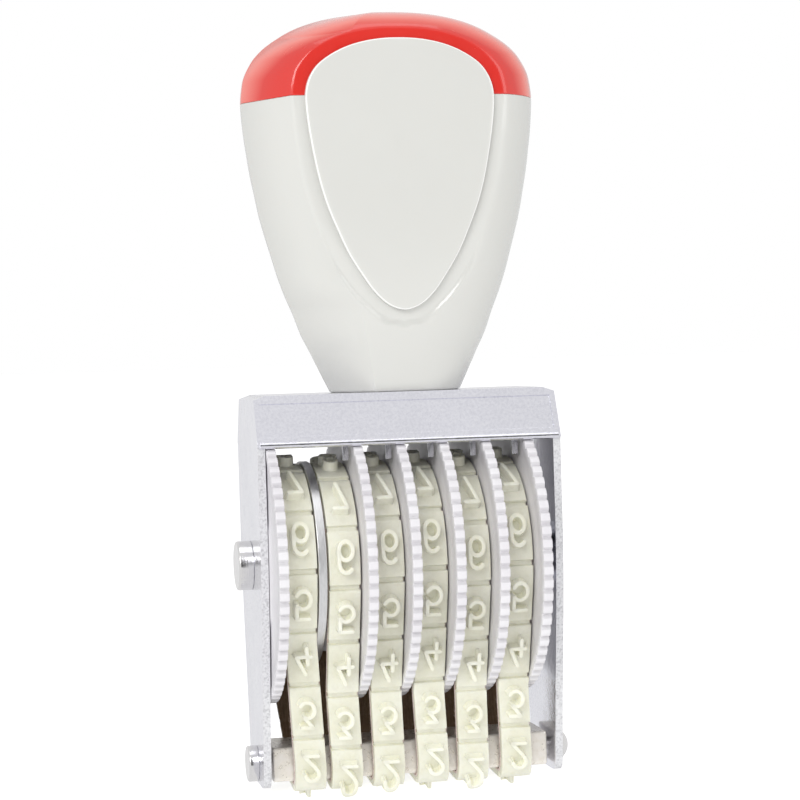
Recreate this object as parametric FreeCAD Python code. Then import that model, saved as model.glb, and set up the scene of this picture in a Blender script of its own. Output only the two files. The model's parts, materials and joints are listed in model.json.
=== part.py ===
import FreeCAD, Part
import math, os

# Hand numbering stamp: six printing bands on finger wheels in a sheet-metal
# yoke with a moulded grip. Millimetres, +Z up, front is -Y.
# Origin: bottom centre, on the plane of the raised printing faces.

V = FreeCAD.Vector

# ---------------------------------------------------------------- dimensions
X_SHIFT = -0.25          # moves the yoke so that the bounding box is centred
YOKE_W = 48.0            # outside width of the yoke
SHEET = 1.2              # sheet thickness of the yoke
YOKE_TOP = 63.7          # top face of the yoke
BEND_X, BEND_Z = 1.8, 0.65   # flat at the bend between top and side
TOP_HALF = 8.2           # half depth of the top plate
LIP_Z = 55.85            # lower edge of the aprons
LIP_HALF = 12.0          # half depth at the aprons' lower edge
WALL = 1.0               # thickness of the aprons, measured front to back
BEAD_R = 0.5             # rolled bead along the lower edge of each apron
PLATE_BOTTOM = 2.5       # lower end of the side plates
AXLE_Z = 36.9
AXLE_R = 2.0
BORE_R = 2.05            # wheel bore, running fit on the axle
HEAD_R, HEAD_T = 3.9, 2.35   # axle head, left
DISC_R = 21.8            # toothed finger discs
DISC_T = 1.5
TOOTH_N, TOOTH_D = 66, 0.45
PITCH = 6.79             # from one disc to the next
DISC0_X = -21.93         # centre plane of the leftmost disc
HUB_R = 14.1
SEP_R, SEP_T = 16.1, 1.3     # plain separator between wheels 1 and 2
GAP = 0.12               # side play between neighbours on the axle
BAND_IN = 14.25          # inner radius of a band over its wheel
FABRIC_T = 0.45          # woven backing
FABRIC_W = 5.05
RUBBER_T = 1.1           # rubber layer
RUBBER_W = 4.9
RELIEF = 1.45            # height of the raised characters
BLOCKS = 14              # characters and blanks on one band
PAD_W, PAD_L = 2.8, 5.0
BAR_HALF, BAR_HY = 22.1, 5.0     # foot bar half length and half depth
BAR_Z0, BAR_Z1 = 3.1, 8.55
BAR_EDGE = 0.8           # radius of the lower edges, which the bands wrap
BAR_TOP_EDGE = 0.35
BAND_SIDE = 0.1          # the bands run nearer the right-hand disc
FOOT_R = 1.5             # foot bolt
FOOT_Z = 5.5
NUT_T = 1.6              # nut on the left end of the foot bolt
DOME_R = 2.9             # domed head on its right end
GRIP_Z0, GRIP_Z1 = YOKE_TOP, 123.85
SEAM_Z = 109.7
GRIP_WALL = 2.2
BAND_PHASE = [0.1, -1.7, -0.9, 0.9, -0.7, 1.9]   # shift of each band along its loop

disc_x = [DISC0_X + PITCH * k for k in range(7)]
INNER = YOKE_W / 2 - SHEET


# ------------------------------------------------------------------- helpers
def cyl_x(r, x0, x1, y=0.0, z=AXLE_Z):
    return Part.makeCylinder(r, x1 - x0, V(x0, y, z), V(1, 0, 0))


def prism_x(points, x0, x1):
    pts = [V(x0, y, z) for y, z in points]
    return Part.Face(Part.makePolygon(pts + [pts[0]])).extrude(V(x1 - x0, 0, 0))


def box(x0, x1, y0, y1, z0, z1):
    return Part.makeBox(x1 - x0, y1 - y0, z1 - z0, V(x0, y0, z0))


# ---------------------------------------------------------------------- yoke
def plate_outline():
    prof = [(55.85, 11.5), (50.0, 11.5), (44.0, 11.5), (39.0, 11.4), (33.0, 11.0), (25.0, 10.1),
            (19.0, 9.2), (14.0, 8.5), (8.0, 7.8), (4.6, 7.5)]
    front = [V(0, -h, z) for z, h in prof]
    rear = [V(0, h, z) for z, h in prof]
    e = []
    sp = Part.BSplineCurve()
    sp.interpolate(front)
    e.append(sp.toShape())
    b = PLATE_BOTTOM
    e.append(Part.Arc(V(0, -7.5, 4.6), V(0, -6.9, b + 0.6), V(0, -5.4, b)).toShape())
    e.append(Part.makeLine(V(0, -5.4, b), V(0, 5.4, b)))
    e.append(Part.Arc(V(0, 5.4, b), V(0, 6.9, b + 0.6), V(0, 7.5, 4.6)).toShape())
    sp = Part.BSplineCurve()
    sp.interpolate(list(reversed(rear)))
    e.append(sp.toShape())
    e.append(Part.makeLine(V(0, 11.5, 55.85), V(0, TOP_HALF, YOKE_TOP - BEND_Z)))
    e.append(Part.makeLine(V(0, TOP_HALF, YOKE_TOP - BEND_Z), V(0, -TOP_HALF, YOKE_TOP - BEND_Z)))
    e.append(Part.makeLine(V(0, -TOP_HALF, YOKE_TOP - BEND_Z), V(0, -11.5, 55.85)))
    return Part.Face(Part.Wire(e))


def yoke():
    w = YOKE_W / 2
    hood = prism_x([(-LIP_HALF, LIP_Z), (-TOP_HALF, YOKE_TOP), (TOP_HALF, YOKE_TOP), (LIP_HALF, LIP_Z)], -w, w)
    for s in (-1, 1):
        cut = Part.Face(Part.makePolygon([V(s * w, -20, YOKE_TOP - BEND_Z), V(s * (w - BEND_X), -20, YOKE_TOP),
                                          V(s * (w + 1), -20, YOKE_TOP + 1), V(s * (w + 1), -20, YOKE_TOP - BEND_Z),
                                          V(s * w, -20, YOKE_TOP - BEND_Z)])).extrude(V(0, 40, 0))
        hood = hood.cut(cut)
    slope = (LIP_HALF - TOP_HALF) / (YOKE_TOP - LIP_Z)
    zi = YOKE_TOP - SHEET
    yi = TOP_HALF + slope * SHEET - WALL
    room = prism_x([(-(LIP_HALF + slope * 2 - WALL), LIP_Z - 2), (-yi, zi), (yi, zi),
                    (LIP_HALF + slope * 2 - WALL, LIP_Z - 2)], -INNER, INNER)
    hood = hood.cut(room)
    plate = plate_outline()
    left = plate.translated(V(-w, 0, 0)).extrude(V(SHEET, 0, 0))
    right = plate.translated(V(w - SHEET, 0, 0)).extrude(V(SHEET, 0, 0))
    body = hood.fuse([left, right])
    for s in (-1, 1):
        body = body.fuse(cyl_x(BEAD_R, -w + 0.4, w - 0.4, s * (LIP_HALF - 0.45), LIP_Z + 0.25))
    body = body.cut(cyl_x(AXLE_R + 0.02, -w - 1, w + 1))
    body = body.cut(cyl_x(FOOT_R + 0.02, -w - 1, w + 1, 0, FOOT_Z))
    body = body.cut(Part.makeCylinder(2.1, 10, V(0, 0, YOKE_TOP - 5)))
    # shallow field pressed into each apron, which leaves a proud rim
    for s in (-1, 1):
        y0, z0 = LIP_HALF - slope * 1.5, LIP_Z + 1.5
        y1, z1 = LIP_HALF - slope * 6.6, LIP_Z + 6.6
        d = 0.22
        field = prism_x([(s * (y0 - d), z0), (s * (y1 - d), z1), (s * (y1 + 1), z1), (s * (y0 + 1), z0)],
                        -w + 0.9, w - 0.9)
        body = body.cut(field)
    return body.removeSplitter()


# ------------------------------------------------------------ band loop path
C_TOP = (0.0, AXLE_Z, BAND_IN)
C_LOW = (-(BAR_HY - BAR_EDGE), BAR_Z0 + BAR_EDGE, BAR_EDGE + 0.1)


def strand_angle():
    dy, dz = C_LOW[0] - C_TOP[0], C_LOW[1] - C_TOP[1]
    dist = math.hypot(dy, dz)
    return math.asin((C_TOP[2] - C_LOW[2]) / dist) - math.atan2(-dy, -dz)


ANG = strand_angle()          # lean of the free strands from the vertical


def segments(d):
    """front half of the loop from the bottom centre to the crown, offset d outwards"""
    n = (-math.cos(ANG), -math.sin(ANG))
    seg = []
    zb = C_LOW[1] - C_LOW[2] - d
    a1 = 180.0 + math.degrees(ANG)                         # direction of the strand's normal
    seg.append(('line', (0.0, zb), (C_LOW[0], zb)))
    seg.append(('arc', C_LOW[:2], C_LOW[2] + d, 270.0, a1))
    p = (C_LOW[0] + n[0] * (C_LOW[2] + d), C_LOW[1] + n[1] * (C_LOW[2] + d))
    q = (C_TOP[0] + n[0] * (C_TOP[2] + d), C_TOP[1] + n[1] * (C_TOP[2] + d))
    seg.append(('line', p, q))
    seg.append(('arc', C_TOP[:2], C_TOP[2] + d, a1, 90.0))
    return seg


def loop_wire(d, x):
    edges = []
    half = segments(d)
    for mirror in (1, -1):
        for s in half:
            if s[0] == 'line':
                edges.append(Part.makeLine(V(x, mirror * s[1][0], s[1][1]), V(x, mirror * s[2][0], s[2][1])))
            else:
                (cy, cz), r, a0, a1 = s[1], s[2], s[3], s[4]
                pts = []
                for t in (a0, (a0 + a1) / 2, a1):
                    t = math.radians(t)
                    pts.append(V(x, mirror * (cy + r * math.cos(t)), cz + r * math.sin(t)))
                edges.append(Part.Arc(*pts).toShape())
    return Part.Wire(Part.__sortEdges__(edges))


def loop_solid(d0, d1, width, xc):
    x0 = xc - width / 2
    outer = Part.Face(loop_wire(d1, x0)).extrude(V(width, 0, 0))
    inner = Part.Face(loop_wire(d0, x0)).extrude(V(width, 0, 0))
    return outer.cut(inner)


def seg_len(s, d):
    if s[0] == 'line':
        return math.hypot(s[2][0] - s[1][0], s[2][1] - s[1][1])
    return abs(math.radians(s[4] - s[3])) * s[2]


NEUTRAL = 0.9
HALF_LEN = sum(seg_len(s, NEUTRAL) for s in segments(NEUTRAL))
LOOP_LEN = 2 * HALF_LEN


def at(s):
    """point on the neutral line and outward normal, s measured from the bottom centre up the front"""
    s = s % LOOP_LEN
    mirror = 1
    if s > HALF_LEN:
        s = LOOP_LEN - s
        mirror = -1
    for g in segments(NEUTRAL):
        L = seg_len(g, NEUTRAL)
        if s <= L + 1e-9:
            if g[0] == 'line':
                f = s / L
                y = g[1][0] + (g[2][0] - g[1][0]) * f
                z = g[1][1] + (g[2][1] - g[1][1]) * f
                ty, tz = (g[2][0] - g[1][0]) / L, (g[2][1] - g[1][1]) / L
                ny, nz = -tz, ty
                if ny * (y - 0) + nz * (z - 20) < 0:
                    ny, nz = -ny, -nz
            else:
                a0, a1 = g[3], g[4]
                t = math.radians(a0 + (a1 - a0) * s / L)
                ny, nz = math.cos(t), math.sin(t)
                y, z = g[1][0] + g[2] * ny, g[1][1] + g[2] * nz
            return mirror * y, z, mirror * ny, nz
        s -= L
    return 0.0, C_TOP[1] + C_TOP[2] + NEUTRAL, 0.0, 1.0


def rubber_band(xc, phase):
    body = loop_solid(FABRIC_T, FABRIC_T + RUBBER_T, RUBBER_W, xc)
    step = LOOP_LEN / BLOCKS
    rise = RUBBER_T + FABRIC_T + RELIEF - NEUTRAL
    pads = []
    for i in range(BLOCKS):
        y, z, ny, nz = at(i * step + phase)
        pad = Part.makeBox(PAD_W, PAD_L, rise, V(-PAD_W / 2, -PAD_L / 2, 0))
        rot = FreeCAD.Rotation(V(1, 0, 0), math.degrees(math.atan2(-ny, nz)))
        pad.Placement = FreeCAD.Placement(V(xc, y, z), rot)
        pads.append(pad)
    return body.fuse(pads)


# ------------------------------------------------------------- number wheels
def toothed_disc(x0, x1):
    pts = []
    step = 2 * math.pi / TOOTH_N
    for i in range(TOOTH_N):
        a = i * step
        for da, r in ((0.0, DISC_R), (0.5, DISC_R), (0.56, DISC_R - TOOTH_D), (0.94, DISC_R - TOOTH_D)):
            t = a + da * step
            pts.append(V(x0, r * math.sin(t), AXLE_Z + r * math.cos(t)))
    return Part.Face(Part.makePolygon(pts + [pts[0]])).extrude(V(x1 - x0, 0, 0))


def wheel(i):
    if i == 1:
        d0, d1 = disc_x[0] - DISC_T / 2, disc_x[0] + DISC_T / 2
        h0, h1 = d1 - 0.2, disc_x[1] - SEP_T / 2 - GAP
    else:
        d0, d1 = disc_x[i] - DISC_T / 2, disc_x[i] + DISC_T / 2
        prev = disc_x[i - 1] + (SEP_T if i == 2 else DISC_T) / 2
        h0, h1 = prev + GAP, d0 + 0.2
    w = toothed_disc(d0, d1).fuse(cyl_x(HUB_R, h0, h1))
    # the hub is cored out from its open side, leaving a rim, a boss and the web
    if i == 1:
        ring = cyl_x(HUB_R - 1.6, d1 + 0.3, h1 + 1).cut(cyl_x(4.2, d1, h1 + 2))
    else:
        ring = cyl_x(HUB_R - 1.6, h0 - 1, d0 - 0.3).cut(cyl_x(4.2, h0 - 2, d0))
    w = w.cut(ring)
    return w.cut(cyl_x(BORE_R, -30, 30))


# --------------------------------------------------------------------- grip
# half width and half depth of the grip at each height
GRIP = [(63.7, 10.35, 6.4), (66.6, 11.75, 7.2), (69.8, 13.2, 8.0), (73.0, 14.75, 8.8), (76.2, 15.9, 9.5),
        (79.4, 17.2, 10.1), (82.6, 18.3, 10.7), (85.8, 19.2, 11.2), (89.0, 20.1, 11.6), (92.2, 20.9, 12.0),
        (95.4, 21.5, 12.3), (98.6, 22.1, 12.5), (101.8, 22.55, 12.7), (105.0, 22.95, 12.8), (109.7, 23.3, 12.8),
        (112.9, 22.9, 12.5), (116.2, 21.4, 11.8), (118.0, 19.8, 11.1), (119.6, 17.6, 10.2), (121.3, 14.5, 8.7),
        (122.6, 10.6, 6.6), (123.4, 6.2, 4.0), (123.85, 0.6, 0.5)]


def ring(a, b, z, n=2.5):
    pts = []
    N = 32
    for i in range(N):
        t = 2 * math.pi * i / N
        c, s = math.cos(t), math.sin(t)
        pts.append(V(a * math.copysign(abs(c) ** (2 / n), c), b * math.copysign(abs(s) ** (2 / n), s), z))
    sp = Part.BSplineCurve()
    sp.interpolate(pts, PeriodicFlag=True)
    return Part.Wire(sp.toShape())


def grip_solid(inset, z0, z1):
    ws = []
    for z, a, b in GRIP:
        if z < z0 - 1e-6 or z > z1 + 1e-6:
            continue
        ws.append(ring(a - inset, b - inset, z))
    return Part.makeLoft(ws, True, False)


def shield_profile(scale=1.0):
    # raised shield outline in X and Z: broad domed top and a narrow rounded foot
    pts = [(0.0, 76.2), (3.6, 77.3), (6.6, 80.4), (9.6, 85.4), (12.0, 91.0), (13.9, 98.0), (14.9, 105.0),
           (15.1, 110.0), (14.0, 114.2), (10.6, 117.6), (5.6, 119.6), (0.0, 120.1)]
    full = [V(x, -30, z) for x, z in pts] + [V(-x, -30, z) for x, z in reversed(pts[1:-1])]
    sp = Part.BSplineCurve()
    sp.interpolate(full, PeriodicFlag=True)
    return Part.Face(Part.Wire(sp.toShape()))


def grip_parts():
    lower = grip_solid(0.0, GRIP_Z0, SEAM_Z)
    lower_in = grip_solid(GRIP_WALL, 66.0, SEAM_Z)
    upper = grip_solid(0.0, SEAM_Z, GRIP_Z1)
    ws = [ring(a - GRIP_WALL, b - GRIP_WALL, z) for z, a, b in GRIP if SEAM_Z - 1e-6 <= z <= 119.7]
    upper_in = Part.makeLoft(ws, True, False)
    body = lower.cut(lower_in)
    boss = Part.makeCylinder(4.6, 24.0, V(0, 0, GRIP_Z0 + 0.5))
    body = body.fuse(boss).cut(Part.makeCylinder(1.98, 20.0, V(0, 0, GRIP_Z0 - 1)))
    cap = upper.cut(upper_in)
    # locating spigot of the cap inside the body's mouth
    cut_front = shield_profile().extrude(V(0, 30 - 5.5, 0))
    cut_rear = cut_front.mirror(V(0, 0, 0), V(0, 1, 0))
    front = body.common(cut_front).fuse(cap.common(cut_front))
    rear = body.common(cut_rear).fuse(cap.common(cut_rear))
    body = body.cut(cut_front).cut(cut_rear)
    cap = cap.cut(cut_front).cut(cut_rear)
    return body, cap, front.removeSplitter(), rear.removeSplitter()


# ------------------------------------------------------------------ assembly
nodes = {}
w = YOKE_W / 2
nodes['frame_yoke'] = yoke()
body, cap, sf, sr = grip_parts()
nodes['handle_body'] = body
nodes['handle_cap'] = cap
nodes['handle_shield_front'] = sf
nodes['handle_shield_rear'] = sr

zc = YOKE_TOP - SHEET                      # underside of the yoke's top plate
COMB_T = 0.4
comb = box(-21.5, 21.5, -7.3, 5.0, zc - COMB_T, zc)
for k in range(2, 7):
    xr = disc_x[k] - DISC_T / 2 - 0.25
    comb = comb.fuse(prism_x([(-7.3, zc), (-8.6, 58.6), (-8.6, 53.3), (-8.2, 53.3), (-8.2, 58.6), (-6.9, zc)], xr - 0.95, xr))
comb = comb.cut(Part.makeCylinder(2.1, 6, V(0, 0, zc - 3)))
nodes['index_spring_comb'] = comb
zw = zc - COMB_T
nodes['handle_washer'] = Part.makeCylinder(4.4, 0.5, V(0, 0, zw - 0.5)).cut(Part.makeCylinder(2.1, 3, V(0, 0, zw - 2)))
screw = Part.makeCylinder(3.5, 1.6, V(0, 0, zw - 2.1)).fuse(Part.makeCylinder(1.98, 19.0, V(0, 0, zw - 0.6)))
slot = box(-4, 4, -0.4, 0.4, zw - 2.2, zw - 1.4)
nodes['handle_screw'] = screw.cut(slot)

head = cyl_x(HEAD_R, -w - HEAD_T, -w)
head = head.makeFillet(0.35, [e for e in head.Edges if abs(e.BoundBox.XMin + w + HEAD_T) < 1e-4 and e.BoundBox.XLength < 1e-4])
nodes['axle'] = head.fuse(cyl_x(AXLE_R, -w - 0.5, w + 0.4))
nodes['axle_retainer'] = cyl_x(3.2, w, w + 0.4).cut(cyl_x(AXLE_R, w - 1, w + 2))
xr = disc_x[6] + DISC_T / 2 + GAP
nodes['axle_washer_right'] = cyl_x(5.0, xr, xr + 0.6).cut(cyl_x(AXLE_R + 0.02, -30, 30))
# spring washer between the last washer and the plate, drawn as a dished cone
cone_o = Part.makeCone(3.0, 5.0, INNER - xr - 0.6, V(xr + 0.6, 0, AXLE_Z), V(1, 0, 0))
cone_i = Part.makeCone(2.3, 4.3, INNER - xr - 0.6, V(xr + 0.6, 0, AXLE_Z), V(1, 0, 0))
nodes['spring_washer'] = cone_o.cut(cone_i)
nodes['separator_disc'] = cyl_x(SEP_R, disc_x[1] - SEP_T / 2, disc_x[1] + SEP_T / 2).cut(cyl_x(AXLE_R + 0.02, -30, 30))

bar = box(-BAR_HALF, BAR_HALF, -BAR_HY, BAR_HY, BAR_Z0, BAR_Z1)
bar = bar.makeFillet(BAR_EDGE, [e for e in bar.Edges if e.BoundBox.XLength > 10 and e.BoundBox.ZMax < BAR_Z0 + 1])
bar = bar.makeFillet(BAR_TOP_EDGE, [e for e in bar.Edges if e.BoundBox.XLength > 10 and e.BoundBox.ZMin > BAR_Z1 - 0.1])
bar = bar.makeFillet(0.25, [e for e in bar.Edges if e.BoundBox.XLength < 1e-3])
nodes['foot_bar'] = bar.cut(cyl_x(FOOT_R + 0.02, -30, 30, 0, FOOT_Z))
nodes['foot_bolt'] = cyl_x(FOOT_R, -w - 0.9, w + 0.4, 0, FOOT_Z).fuse(
    Part.makeSphere(DOME_R, V(w - 0.05, 0, FOOT_Z)).common(cyl_x(2.85, w, w + 4, 0, FOOT_Z)))
nut = cyl_x(2.85, -w - NUT_T, -w, 0, FOOT_Z)
nut = nut.makeFillet(0.3, [e for e in nut.Edges if abs(e.BoundBox.XMin + w + NUT_T) < 1e-4 and e.BoundBox.XLength < 1e-4])
nodes['foot_nut'] = nut.cut(cyl_x(FOOT_R, -w - 1.0, -w + 1, 0, FOOT_Z))

for i in range(1, 7):
    nodes['number_wheel_%d' % i] = wheel(i)
for i in range(1, 7):
    if i == 1:
        x0, x1 = disc_x[0] + DISC_T / 2, disc_x[1] - SEP_T / 2
    else:
        x0 = disc_x[i - 1] + (SEP_T if i == 2 else DISC_T) / 2
        x1 = disc_x[i] - DISC_T / 2
    xc = (x0 + x1) / 2 + BAND_SIDE
    nodes['number_band_%d' % i] = rubber_band(xc, BAND_PHASE[i - 1])
    nodes['band_backing_%d' % i] = loop_solid(0.0, FABRIC_T, FABRIC_W, xc)

os.makedirs("parts", exist_ok=True)
for name, shape in nodes.items():
    s = shape.translated(V(X_SHIFT, 0, 0))
    ok = s.isValid()
    s.exportStep("parts/%s.step" % name)
    bb = s.BoundBox
    print('%-20s valid=%s solids=%d vol=%.1f  x %.2f..%.2f y %.2f..%.2f z %.2f..%.2f' % (
        name, ok, len(s.Solids), s.Volume, bb.XMin, bb.XMax, bb.YMin, bb.YMax, bb.ZMin, bb.ZMax))
print('loop length %.2f, block step %.3f' % (LOOP_LEN, LOOP_LEN / BLOCKS))
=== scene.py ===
import bpy, bmesh, json, math, random
import numpy as np
from mathutils import Vector, Matrix, noise

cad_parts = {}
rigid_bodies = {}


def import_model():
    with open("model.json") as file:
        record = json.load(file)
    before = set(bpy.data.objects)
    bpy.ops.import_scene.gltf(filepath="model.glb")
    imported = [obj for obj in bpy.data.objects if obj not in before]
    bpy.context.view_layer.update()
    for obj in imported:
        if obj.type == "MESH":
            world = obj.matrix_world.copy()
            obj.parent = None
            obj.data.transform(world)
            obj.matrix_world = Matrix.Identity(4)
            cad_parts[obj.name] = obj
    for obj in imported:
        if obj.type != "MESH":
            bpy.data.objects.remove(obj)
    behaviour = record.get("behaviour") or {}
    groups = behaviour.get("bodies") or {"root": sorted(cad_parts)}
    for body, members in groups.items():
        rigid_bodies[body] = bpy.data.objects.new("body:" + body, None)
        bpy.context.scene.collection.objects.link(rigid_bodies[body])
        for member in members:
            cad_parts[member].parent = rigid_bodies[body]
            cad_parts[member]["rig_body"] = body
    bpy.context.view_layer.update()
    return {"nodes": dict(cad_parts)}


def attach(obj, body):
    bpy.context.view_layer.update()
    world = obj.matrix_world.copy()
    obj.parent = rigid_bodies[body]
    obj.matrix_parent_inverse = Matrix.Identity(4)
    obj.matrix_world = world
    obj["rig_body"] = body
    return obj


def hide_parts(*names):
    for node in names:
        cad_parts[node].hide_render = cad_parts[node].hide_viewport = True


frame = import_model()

MM = 0.001
XS = -0.25                     # the yoke's middle plane lies at this x, in mm
scene = bpy.context.scene
random.seed(7)


# ------------------------------------------------------------------ helpers
def link(obj):
    scene.collection.objects.link(obj)
    return obj


def mesh_obj(name, verts, faces, mat=None, smooth=True, scale=MM):
    me = bpy.data.meshes.new(name)
    me.from_pydata([(x * scale, y * scale, z * scale) for x, y, z in verts], [], faces)
    me.validate()
    me.update()
    if smooth:
        me.polygons.foreach_set("use_smooth", [True] * len(me.polygons))
    o = bpy.data.objects.new(name, me)
    link(o)
    if mat:
        me.materials.append(mat)
    return o


def recalc(o):
    bm = bmesh.new()
    bm.from_mesh(o.data)
    bmesh.ops.recalc_face_normals(bm, faces=bm.faces)
    bm.to_mesh(o.data)
    bm.free()


def sharp_by_angle(me, deg):
    bm = bmesh.new()
    bm.from_mesh(me)
    lim = math.radians(deg)
    for f in bm.faces:
        f.smooth = True
    for e in bm.edges:
        if len(e.link_faces) == 2 and e.calc_face_angle(0) > lim:
            e.smooth = False
    bm.to_mesh(me)
    bm.free()


def detail(node, name, mat, bevel=0.15, seg=2, angle=32, slot=None):
    """a refined copy of a CAD piece: planar faces cleaned, real edges rounded"""
    src = frame["nodes"][node]
    bm = bmesh.new()
    bm.from_mesh(src.data)
    bmesh.ops.remove_doubles(bm, verts=bm.verts, dist=2e-6)
    bmesh.ops.dissolve_limit(bm, angle_limit=math.radians(1.2), verts=bm.verts, edges=bm.edges)
    bmesh.ops.connect_verts_concave(bm, faces=bm.faces)
    me = bpy.data.meshes.new(name)
    bm.to_mesh(me)
    bm.free()
    o = bpy.data.objects.new(name, me)
    link(o)
    me.materials.append(mat)
    if bevel:
        m = o.modifiers.new("edge", 'BEVEL')
        m.width = bevel * MM
        m.segments = seg
        m.limit_method = 'ANGLE'
        m.angle_limit = math.radians(angle)
        m.use_clamp_overlap = True
        m.harden_normals = False
        dg = bpy.context.evaluated_depsgraph_get()
        me2 = bpy.data.meshes.new_from_object(o.evaluated_get(dg))
        o.modifiers.clear()
        o.data = me2
        me2.name = name
    sharp_by_angle(o.data, 42)
    if bevel:
        # flat faces keep flat shading, only the rounded edges turn
        m = o.modifiers.new("flat", 'WEIGHTED_NORMAL')
        m.mode = 'FACE_AREA'
        m.weight = 100
        m.keep_sharp = True
        dg = bpy.context.evaluated_depsgraph_get()
        me3 = bpy.data.meshes.new_from_object(o.evaluated_get(dg))
        o.modifiers.clear()
        o.data = me3
        me3.name = name
    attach(o, src["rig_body"])
    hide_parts(node)
    return o


# ---------------------------------------------------------------- materials
class M:
    """small helper around a Principled material"""
    def __init__(self, name, color=(0.8, 0.8, 0.8), rough=0.4, metal=0.0, **kw):
        self.mat = bpy.data.materials.new(name)
        self.mat.use_nodes = True
        self.nt = self.mat.node_tree
        self.bsdf = self.nt.nodes["Principled BSDF"]
        self.bsdf.inputs["Base Color"].default_value = (*color, 1)
        self.bsdf.inputs["Roughness"].default_value = rough
        self.bsdf.inputs["Metallic"].default_value = metal
        for k, v in kw.items():
            self.bsdf.inputs[k.replace("_", " ")].default_value = v
        self.tc = self.nt.nodes.new("ShaderNodeTexCoord")
        self.height = None

    def node(self, kind, **kw):
        n = self.nt.nodes.new(kind)
        for k, v in kw.items():
            if k in n.inputs:
                n.inputs[k].default_value = v
            else:
                setattr(n, k, v)
        return n

    def lk(self, a, b):
        self.nt.links.new(a, b)

    def coord(self, scale=(1, 1, 1)):
        mp = self.node("ShaderNodeMapping")
        mp.inputs["Scale"].default_value = scale
        self.lk(self.tc.outputs["Object"], mp.inputs["Vector"])
        return mp.outputs["Vector"]

    def noise(self, scale, detail=3, rough=0.5, stretch=(1, 1, 1), distortion=0.0):
        n = self.node("ShaderNodeTexNoise")
        n.inputs["Scale"].default_value = scale
        n.inputs["Detail"].default_value = detail
        n.inputs["Roughness"].default_value = rough
        n.inputs["Distortion"].default_value = distortion
        self.lk(self.coord(stretch), n.inputs["Vector"])
        return n.outputs["Fac"]

    def wave(self, scale, axis='X', distortion=0.0, stretch=(1, 1, 1), profile='SIN'):
        n = self.node("ShaderNodeTexWave")
        n.bands_direction = axis
        n.wave_profile = profile
        n.inputs["Scale"].default_value = scale
        n.inputs["Distortion"].default_value = distortion
        self.lk(self.coord(stretch), n.inputs["Vector"])
        return n.outputs["Fac"]

    def ramp(self, fac, stops, interp='LINEAR'):
        n = self.node("ShaderNodeValToRGB")
        el = n.color_ramp.elements
        n.color_ramp.interpolation = interp
        while len(el) < len(stops):
            el.new(0.5)
        for e, (p, c) in zip(el, stops):
            e.position = p
            e.color = (*c, 1) if len(c) == 3 else c
        self.lk(fac, n.inputs["Fac"])
        return n.outputs["Color"]

    def grey(self, fac, lo, hi, p0=0.3, p1=0.7):
        n = self.node("ShaderNodeMapRange")
        n.inputs["From Min"].default_value = p0
        n.inputs["From Max"].default_value = p1
        n.inputs["To Min"].default_value = lo
        n.inputs["To Max"].default_value = hi
        self.lk(fac, n.inputs["Value"])
        return n.outputs["Result"]

    def math(self, op, a, b):
        n = self.node("ShaderNodeMath", operation=op)
        for i, v in enumerate((a, b)):
            if isinstance(v, (int, float)):
                n.inputs[i].default_value = v
            else:
                self.lk(v, n.inputs[i])
        return n.outputs[0]

    def mixc(self, fac, a, b, mode='MIX'):
        n = self.node("ShaderNodeMix", data_type='RGBA', blend_type=mode)
        if isinstance(fac, (int, float)):
            n.inputs[0].default_value = fac
        else:
            self.lk(fac, n.inputs[0])
        for i, v in ((6, a), (7, b)):
            if isinstance(v, tuple):
                n.inputs[i].default_value = (*v, 1) if len(v) == 3 else v
            else:
                self.lk(v, n.inputs[i])
        return n.outputs[2]

    def bump(self, fac, dist, strength=1.0):
        n = self.node("ShaderNodeBump")
        n.inputs["Strength"].default_value = strength
        n.inputs["Distance"].default_value = dist
        self.lk(fac, n.inputs["Height"])
        if self.height:
            self.lk(self.height, n.inputs["Normal"])
        self.height = n.outputs["Normal"]
        self.lk(self.height, self.bsdf.inputs["Normal"])

    def set(self, socket, out):
        self.lk(out, self.bsdf.inputs[socket])


def mat_plate():
    m = M("nickel_plate", (0.80, 0.80, 0.86), 0.12, 1.0)
    cloud = m.noise(60, 3, 0.5)
    base = m.ramp(cloud, [(0.3, (0.79, 0.79, 0.855)), (0.7, (0.87, 0.87, 0.94))])
    peel = m.noise(2300, 2, 0.55)
    m.set("Base Color", m.mixc(0.22, base, m.ramp(peel, [(0.34, (0.66, 0.66, 0.71)), (0.5, (0.84, 0.84, 0.89)), (0.64, (0.99, 0.99, 1.0))])))
    m.set("Roughness", m.grey(m.noise(350, 4, 0.6), 0.10, 0.22))
    m.bump(m.noise(1500, 2, 0.5), 0.00009, 0.42)
    m.bump(m.noise(5200, 2, 0.5), 0.00002, 0.25)
    return m.mat


def mat_cut():
    m = M("nickel_cut_edge", (0.80, 0.80, 0.82), 0.42, 0.5)
    g = m.noise(2600, 3, 0.6)
    m.set("Base Color", m.ramp(g, [(0.32, (0.60, 0.60, 0.62)), (0.5, (0.80, 0.80, 0.82)), (0.7, (0.90, 0.90, 0.92))]))
    m.set("Roughness", m.grey(m.noise(1500, 3, 0.6), 0.32, 0.6))
    m.bump(g, 0.00006, 0.5)
    return m.mat


def mat_turned(name, col=(0.80, 0.79, 0.79), rough=0.14):
    m = M(name, col, rough, 1.0)
    m.set("Roughness", m.grey(m.noise(700, 3, 0.6), rough - 0.04, rough + 0.12))
    m.bump(m.noise(500, 3, 0.5, stretch=(8, 1, 1)), 0.00004, 0.25)
    return m.mat


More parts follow.
